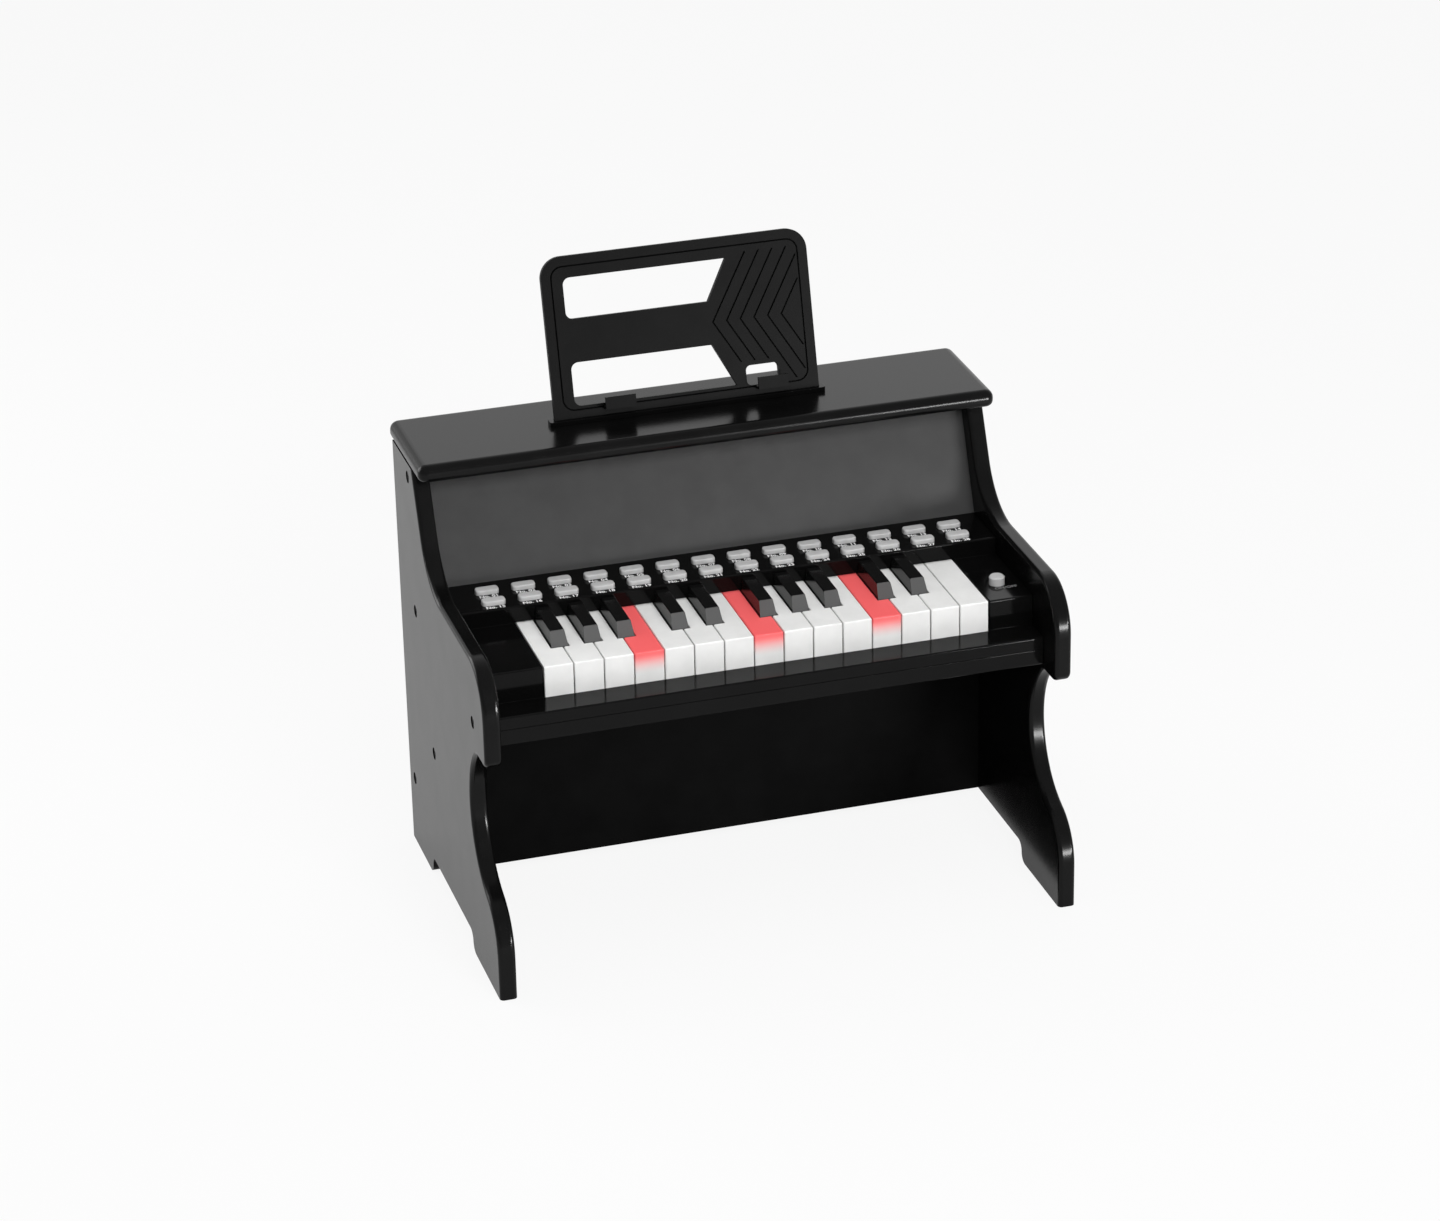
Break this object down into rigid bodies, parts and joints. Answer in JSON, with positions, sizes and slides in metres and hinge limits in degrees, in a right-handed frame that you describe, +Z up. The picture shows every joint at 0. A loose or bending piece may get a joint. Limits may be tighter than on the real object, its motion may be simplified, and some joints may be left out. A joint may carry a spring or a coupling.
{
  "type": "toy piano",
  "caption": "Tabletop toy upright piano: curved wooden side panels, sprung piano keys, rows of push buttons above them, a power button and a lift-out slotted music stand.",
  "frame": {"origin": "centre of the bounding box at the floor, under the feet", "axes": "+X to the player's right, +Y from the player to the back, +Z up"},
  "size_m": [0.411, 0.26, 0.4308],
  "materials": {
    "cabinet_board": "satin",
    "case_plastic": "gloss",
    "stand_plastic": "matte",
    "bolt_steel": "satin",
    "rod_steel": "satin",
    "contact_rubber": "matte",
    "board_green": "satin",
    "speaker_metal": "satin",
    "cell_metal": "satin",
    "power_plastic": "satin",
    "white_key": "gloss",
    "black_key": "gloss",
    "button_plastic": "matte"
  },
  "bodies": {
    "cabinet": {"left_side_panel": "cabinet_board", "right_side_panel": "cabinet_board", "top_board": "cabinet_board", "fall_panel": "cabinet_board", "knee_panel": "cabinet_board", "back_panel": "cabinet_board", "panel_bolts": "bolt_steel", "stand_socket": "stand_plastic", "keyboard_case": "case_plastic", "case_base": "case_plastic", "key_pivot_rod": "rod_steel", "key_contact_strip": "contact_rubber", "key_circuit_board": "board_green", "button_circuit_board": "board_green", "speaker": "speaker_metal", "battery_cells": "cell_metal", "battery_door": "case_plastic", "switch_body": "stand_plastic"},
    "music_stand": {"music_stand": "stand_plastic"},
    "power_button": {"power_button": "power_plastic"},
    "white_key_01": {"white_key_01": "white_key"},
    "white_key_02": {"white_key_02": "white_key"},
    "white_key_03": {"white_key_03": "white_key"},
    "white_key_04": {"white_key_04": "white_key"},
    "white_key_05": {"white_key_05": "white_key"},
    "white_key_06": {"white_key_06": "white_key"},
    "white_key_07": {"white_key_07": "white_key"},
    "white_key_08": {"white_key_08": "white_key"},
    "white_key_09": {"white_key_09": "white_key"},
    "white_key_10": {"white_key_10": "white_key"},
    "white_key_11": {"white_key_11": "white_key"},
    "white_key_12": {"white_key_12": "white_key"},
    "white_key_13": {"white_key_13": "white_key"},
    "white_key_14": {"white_key_14": "white_key"},
    "white_key_15": {"white_key_15": "white_key"},
    "black_key_01": {"black_key_01": "black_key"},
    "black_key_02": {"black_key_02": "black_key"},
    "black_key_03": {"black_key_03": "black_key"},
    "black_key_04": {"black_key_04": "black_key"},
    "black_key_05": {"black_key_05": "black_key"},
    "black_key_06": {"black_key_06": "black_key"},
    "black_key_07": {"black_key_07": "black_key"},
    "black_key_08": {"black_key_08": "black_key"},
    "black_key_09": {"black_key_09": "black_key"},
    "black_key_10": {"black_key_10": "black_key"},
    "button_pair_01": {"button_pair_01": "button_plastic"},
    "button_pair_02": {"button_pair_02": "button_plastic"},
    "button_pair_03": {"button_pair_03": "button_plastic"},
    "button_pair_04": {"button_pair_04": "button_plastic"},
    "button_pair_05": {"button_pair_05": "button_plastic"},
    "button_pair_06": {"button_pair_06": "button_plastic"},
    "button_pair_07": {"button_pair_07": "button_plastic"},
    "button_pair_08": {"button_pair_08": "button_plastic"},
    "button_pair_09": {"button_pair_09": "button_plastic"},
    "button_pair_10": {"button_pair_10": "button_plastic"},
    "button_pair_11": {"button_pair_11": "button_plastic"},
    "button_pair_12": {"button_pair_12": "button_plastic"},
    "button_pair_13": {"button_pair_13": "button_plastic"},
    "button_pair_14": {"button_pair_14": "button_plastic"}
  },
  "joints": [
    {"name": "white_key_01_press", "type": "hinge", "parent": "cabinet", "child": "white_key_01", "pos_m": [0, 0.059, 0.205], "axis": [1, 0, 0], "range_deg": [0, 2.17], "stiffness_Nm_per_rad": 3, "springref_deg": -1.15},
    {"name": "white_key_02_press", "type": "hinge", "parent": "cabinet", "child": "white_key_02", "pos_m": [0, 0.059, 0.205], "axis": [1, 0, 0], "range_deg": [0, 2.17], "stiffness_Nm_per_rad": 3, "springref_deg": -1.15},
    {"name": "white_key_03_press", "type": "hinge", "parent": "cabinet", "child": "white_key_03", "pos_m": [0, 0.059, 0.205], "axis": [1, 0, 0], "range_deg": [0, 2.17], "stiffness_Nm_per_rad": 3, "springref_deg": -1.15},
    {"name": "white_key_04_press", "type": "hinge", "parent": "cabinet", "child": "white_key_04", "pos_m": [0, 0.059, 0.205], "axis": [1, 0, 0], "range_deg": [0, 2.17], "stiffness_Nm_per_rad": 3, "springref_deg": -1.15},
    {"name": "white_key_05_press", "type": "hinge", "parent": "cabinet", "child": "white_key_05", "pos_m": [0, 0.059, 0.205], "axis": [1, 0, 0], "range_deg": [0, 2.17], "stiffness_Nm_per_rad": 3, "springref_deg": -1.15},
    {"name": "white_key_06_press", "type": "hinge", "parent": "cabinet", "child": "white_key_06", "pos_m": [0, 0.059, 0.205], "axis": [1, 0, 0], "range_deg": [0, 2.17], "stiffness_Nm_per_rad": 3, "springref_deg": -1.15},
    {"name": "white_key_07_press", "type": "hinge", "parent": "cabinet", "child": "white_key_07", "pos_m": [0, 0.059, 0.205], "axis": [1, 0, 0], "range_deg": [0, 2.17], "stiffness_Nm_per_rad": 3, "springref_deg": -1.15},
    {"name": "white_key_08_press", "type": "hinge", "parent": "cabinet", "child": "white_key_08", "pos_m": [0, 0.059, 0.205], "axis": [1, 0, 0], "range_deg": [0, 2.17], "stiffness_Nm_per_rad": 3, "springref_deg": -1.15},
    {"name": "white_key_09_press", "type": "hinge", "parent": "cabinet", "child": "white_key_09", "pos_m": [0, 0.059, 0.205], "axis": [1, 0, 0], "range_deg": [0, 2.17], "stiffness_Nm_per_rad": 3, "springref_deg": -1.15},
    {"name": "white_key_10_press", "type": "hinge", "parent": "cabinet", "child": "white_key_10", "pos_m": [0, 0.059, 0.205], "axis": [1, 0, 0], "range_deg": [0, 2.17], "stiffness_Nm_per_rad": 3, "springref_deg": -1.15},
    {"name": "white_key_11_press", "type": "hinge", "parent": "cabinet", "child": "white_key_11", "pos_m": [0, 0.059, 0.205], "axis": [1, 0, 0], "range_deg": [0, 2.17], "stiffness_Nm_per_rad": 3, "springref_deg": -1.15},
    {"name": "white_key_12_press", "type": "hinge", "parent": "cabinet", "child": "white_key_12", "pos_m": [0, 0.059, 0.205], "axis": [1, 0, 0], "range_deg": [0, 2.17], "stiffness_Nm_per_rad": 3, "springref_deg": -1.15},
    {"name": "white_key_13_press", "type": "hinge", "parent": "cabinet", "child": "white_key_13", "pos_m": [0, 0.059, 0.205], "axis": [1, 0, 0], "range_deg": [0, 2.17], "stiffness_Nm_per_rad": 3, "springref_deg": -1.15},
    {"name": "white_key_14_press", "type": "hinge", "parent": "cabinet", "child": "white_key_14", "pos_m": [0, 0.059, 0.205], "axis": [1, 0, 0], "range_deg": [0, 2.17], "stiffness_Nm_per_rad": 3, "springref_deg": -1.15},
    {"name": "white_key_15_press", "type": "hinge", "parent": "cabinet", "child": "white_key_15", "pos_m": [0, 0.059, 0.205], "axis": [1, 0, 0], "range_deg": [0, 2.17], "stiffness_Nm_per_rad": 3, "springref_deg": -1.15},
    {"name": "black_key_01_press", "type": "hinge", "parent": "cabinet", "child": "black_key_01", "pos_m": [0, 0.059, 0.205], "axis": [1, 0, 0], "range_deg": [0, 2.17], "stiffness_Nm_per_rad": 3, "springref_deg": -1.15},
    {"name": "black_key_02_press", "type": "hinge", "parent": "cabinet", "child": "black_key_02", "pos_m": [0, 0.059, 0.205], "axis": [1, 0, 0], "range_deg": [0, 2.17], "stiffness_Nm_per_rad": 3, "springref_deg": -1.15},
    {"name": "black_key_03_press", "type": "hinge", "parent": "cabinet", "child": "black_key_03", "pos_m": [0, 0.059, 0.205], "axis": [1, 0, 0], "range_deg": [0, 2.17], "stiffness_Nm_per_rad": 3, "springref_deg": -1.15},
    {"name": "black_key_04_press", "type": "hinge", "parent": "cabinet", "child": "black_key_04", "pos_m": [0, 0.059, 0.205], "axis": [1, 0, 0], "range_deg": [0, 2.17], "stiffness_Nm_per_rad": 3, "springref_deg": -1.15},
    {"name": "black_key_05_press", "type": "hinge", "parent": "cabinet", "child": "black_key_05", "pos_m": [0, 0.059, 0.205], "axis": [1, 0, 0], "range_deg": [0, 2.17], "stiffness_Nm_per_rad": 3, "springref_deg": -1.15},
    {"name": "black_key_06_press", "type": "hinge", "parent": "cabinet", "child": "black_key_06", "pos_m": [0, 0.059, 0.205], "axis": [1, 0, 0], "range_deg": [0, 2.17], "stiffness_Nm_per_rad": 3, "springref_deg": -1.15},
    {"name": "black_key_07_press", "type": "hinge", "parent": "cabinet", "child": "black_key_07", "pos_m": [0, 0.059, 0.205], "axis": [1, 0, 0], "range_deg": [0, 2.17], "stiffness_Nm_per_rad": 3, "springref_deg": -1.15},
    {"name": "black_key_08_press", "type": "hinge", "parent": "cabinet", "child": "black_key_08", "pos_m": [0, 0.059, 0.205], "axis": [1, 0, 0], "range_deg": [0, 2.17], "stiffness_Nm_per_rad": 3, "springref_deg": -1.15},
    {"name": "black_key_09_press", "type": "hinge", "parent": "cabinet", "child": "black_key_09", "pos_m": [0, 0.059, 0.205], "axis": [1, 0, 0], "range_deg": [0, 2.17], "stiffness_Nm_per_rad": 3, "springref_deg": -1.15},
    {"name": "black_key_10_press", "type": "hinge", "parent": "cabinet", "child": "black_key_10", "pos_m": [0, 0.059, 0.205], "axis": [1, 0, 0], "range_deg": [0, 2.17], "stiffness_Nm_per_rad": 3, "springref_deg": -1.15},
    {"name": "button_pair_01_press", "type": "slide", "parent": "cabinet", "child": "button_pair_01", "axis": [0, 0, -1], "range_m": [0, 0.0012], "stiffness_N_per_m": 400, "springref_m": -0.0006},
    {"name": "button_pair_02_press", "type": "slide", "parent": "cabinet", "child": "button_pair_02", "axis": [0, 0, -1], "range_m": [0, 0.0012], "stiffness_N_per_m": 400, "springref_m": -0.0006},
    {"name": "button_pair_03_press", "type": "slide", "parent": "cabinet", "child": "button_pair_03", "axis": [0, 0, -1], "range_m": [0, 0.0012], "stiffness_N_per_m": 400, "springref_m": -0.0006},
    {"name": "button_pair_04_press", "type": "slide", "parent": "cabinet", "child": "button_pair_04", "axis": [0, 0, -1], "range_m": [0, 0.0012], "stiffness_N_per_m": 400, "springref_m": -0.0006},
    {"name": "button_pair_05_press", "type": "slide", "parent": "cabinet", "child": "button_pair_05", "axis": [0, 0, -1], "range_m": [0, 0.0012], "stiffness_N_per_m": 400, "springref_m": -0.0006},
    {"name": "button_pair_06_press", "type": "slide", "parent": "cabinet", "child": "button_pair_06", "axis": [0, 0, -1], "range_m": [0, 0.0012], "stiffness_N_per_m": 400, "springref_m": -0.0006},
    {"name": "button_pair_07_press", "type": "slide", "parent": "cabinet", "child": "button_pair_07", "axis": [0, 0, -1], "range_m": [0, 0.0012], "stiffness_N_per_m": 400, "springref_m": -0.0006},
    {"name": "button_pair_08_press", "type": "slide", "parent": "cabinet", "child": "button_pair_08", "axis": [0, 0, -1], "range_m": [0, 0.0012], "stiffness_N_per_m": 400, "springref_m": -0.0006},
    {"name": "button_pair_09_press", "type": "slide", "parent": "cabinet", "child": "button_pair_09", "axis": [0, 0, -1], "range_m": [0, 0.0012], "stiffness_N_per_m": 400, "springref_m": -0.0006},
    {"name": "button_pair_10_press", "type": "slide", "parent": "cabinet", "child": "button_pair_10", "axis": [0, 0, -1], "range_m": [0, 0.0012], "stiffness_N_per_m": 400, "springref_m": -0.0006},
    {"name": "button_pair_11_press", "type": "slide", "parent": "cabinet", "child": "button_pair_11", "axis": [0, 0, -1], "range_m": [0, 0.0012], "stiffness_N_per_m": 400, "springref_m": -0.0006},
    {"name": "button_pair_12_press", "type": "slide", "parent": "cabinet", "child": "button_pair_12", "axis": [0, 0, -1], "range_m": [0, 0.0012], "stiffness_N_per_m": 400, "springref_m": -0.0006},
    {"name": "button_pair_13_press", "type": "slide", "parent": "cabinet", "child": "button_pair_13", "axis": [0, 0, -1], "range_m": [0, 0.0012], "stiffness_N_per_m": 400, "springref_m": -0.0006},
    {"name": "button_pair_14_press", "type": "slide", "parent": "cabinet", "child": "button_pair_14", "axis": [0, 0, -1], "range_m": [0, 0.0012], "stiffness_N_per_m": 400, "springref_m": -0.0006},
    {"name": "power_button_press", "type": "slide", "parent": "cabinet", "child": "power_button", "axis": [0, 0, -1], "range_m": [0, 0.0025], "stiffness_N_per_m": 400, "springref_m": -0.0006},
    {"name": "music_stand_lift", "type": "slide", "parent": "cabinet", "child": "music_stand", "axis": [0, 0.2588, 0.9659], "range_m": [0, 0.03]}
  ]
}
